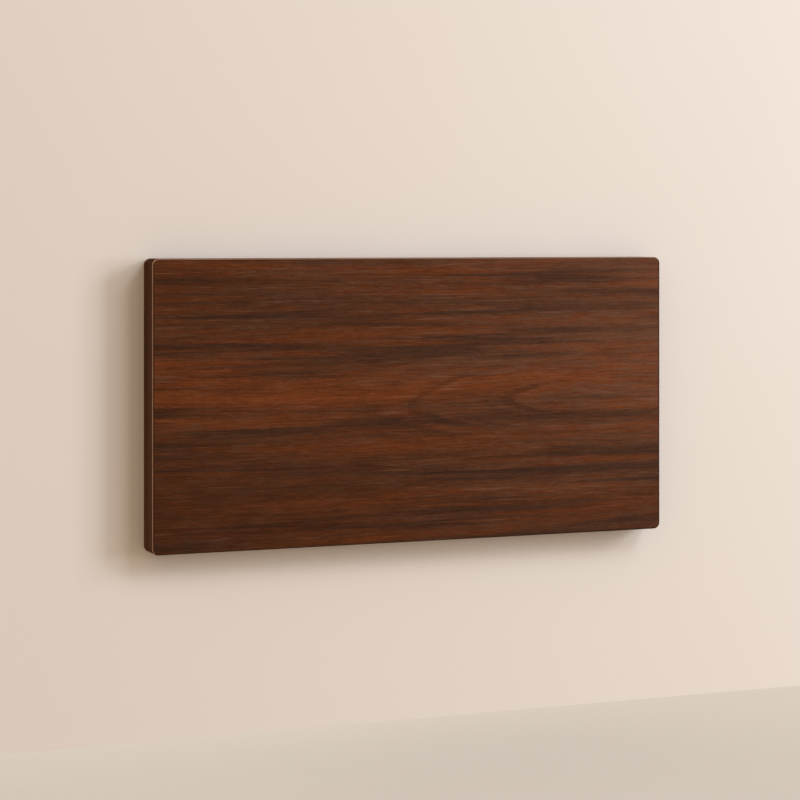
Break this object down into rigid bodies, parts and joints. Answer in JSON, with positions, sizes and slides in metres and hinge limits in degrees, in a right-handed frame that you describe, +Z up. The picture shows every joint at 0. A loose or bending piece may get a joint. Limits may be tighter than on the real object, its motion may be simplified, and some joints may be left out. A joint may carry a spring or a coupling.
{
  "type": "wall mounted drop leaf table",
  "caption": "Wall mounted drop leaf table: a walnut leaf hangs folded on a shallow wall frame and swings up on butt hinges onto prop arms with rollers.",
  "frame": {"origin": "centre of the four wall screw holes, on the wall plane", "axes": "+X right as seen from the room, +Y into the wall, +Z up"},
  "size_m": [0.85, 0.046, 0.44],
  "materials": {
    "walnut_laminate": "satin",
    "walnut_band": "satin",
    "walnut_frame": "satin",
    "backing_laminate": "matte",
    "board_core": "matte",
    "beech": "matte",
    "nickel_steel": "brushed",
    "zinc_steel": "plated",
    "magnet": "plated",
    "black_steel": "powder coat",
    "nylon": "matte",
    "rubber": "matte"
  },
  "bodies": {
    "wall_frame": {"arm_bracket_left": "black_steel", "arm_bracket_right": "black_steel", "arm_pivot_left": "zinc_steel", "arm_pivot_right": "zinc_steel", "arm_washers": "nylon", "bottom_rail": "walnut_frame", "bracket_screws": "nickel_steel", "bumper_pads": "rubber", "catch_magnets": "magnet", "frame_dowels": "beech", "hinge_frame_screws": "nickel_steel", "hinge_frame_wing_centre": "nickel_steel", "hinge_frame_wing_left": "nickel_steel", "hinge_frame_wing_right": "nickel_steel", "hinge_pins": "nickel_steel", "stile_left": "walnut_frame", "stile_right": "walnut_frame", "top_rail": "walnut_frame"},
    "arm_left": {"arm_left": "black_steel", "roller_axle_left": "zinc_steel"},
    "arm_right": {"arm_right": "black_steel", "roller_axle_right": "zinc_steel"},
    "leaf": {"hinge_leaf_screws": "nickel_steel", "hinge_leaf_wing_centre": "nickel_steel", "hinge_leaf_wing_left": "nickel_steel", "hinge_leaf_wing_right": "nickel_steel", "leaf_back_laminate": "backing_laminate", "leaf_core": "board_core", "leaf_edge_band": "walnut_band", "leaf_top_laminate": "walnut_laminate", "lock_post_left": "nickel_steel", "lock_post_right": "nickel_steel", "lock_spacers": "nylon", "strike_plates": "nickel_steel", "strike_screws": "nickel_steel", "track_left": "zinc_steel", "track_right": "zinc_steel", "track_screws": "zinc_steel"},
    "lock_left": {"lock_blade_left": "black_steel"},
    "lock_right": {"lock_blade_right": "black_steel"},
    "roller_left": {"roller_left": "nylon"},
    "roller_right": {"roller_right": "nylon"}
  },
  "joints": [
    {"name": "leaf_fold", "type": "hinge", "parent": "wall_frame", "child": "leaf", "pos_m": [0, -0.0215, 0.217], "axis": [-1, 0, 0], "range_deg": [0, 90]},
    {"name": "arm_left_swing", "type": "hinge", "parent": "wall_frame", "child": "arm_left", "pos_m": [-0.383, -0.0132, 0.087], "axis": [-1, 0, 0], "range_deg": [0, 118.6]},
    {"name": "roller_left_spin", "type": "hinge", "parent": "arm_left", "child": "roller_left", "pos_m": [-0.3705, -0.0132, -0.168], "axis": [-1, 0, 0], "continuous": true},
    {"name": "lock_left_turn", "type": "hinge", "parent": "leaf", "child": "lock_left", "pos_m": [-0.352, -0.014, -0.00928], "axis": [0, 1, 0], "range_deg": [0, 90]},
    {"name": "arm_right_swing", "type": "hinge", "parent": "wall_frame", "child": "arm_right", "pos_m": [0.383, -0.0132, 0.087], "axis": [-1, 0, 0], "range_deg": [0, 118.6]},
    {"name": "roller_right_spin", "type": "hinge", "parent": "arm_right", "child": "roller_right", "pos_m": [0.3705, -0.0132, -0.168], "axis": [-1, 0, 0], "continuous": true},
    {"name": "lock_right_turn", "type": "hinge", "parent": "leaf", "child": "lock_right", "pos_m": [0.352, -0.014, -0.00928], "axis": [0, -1, 0], "range_deg": [0, 90]}
  ],
  "couplings": [
    {"joint": "arm_left_swing", "follows": "leaf_fold", "ratio": 1.3167},
    {"joint": "arm_right_swing", "follows": "leaf_fold", "ratio": 1.3167}
  ]
}
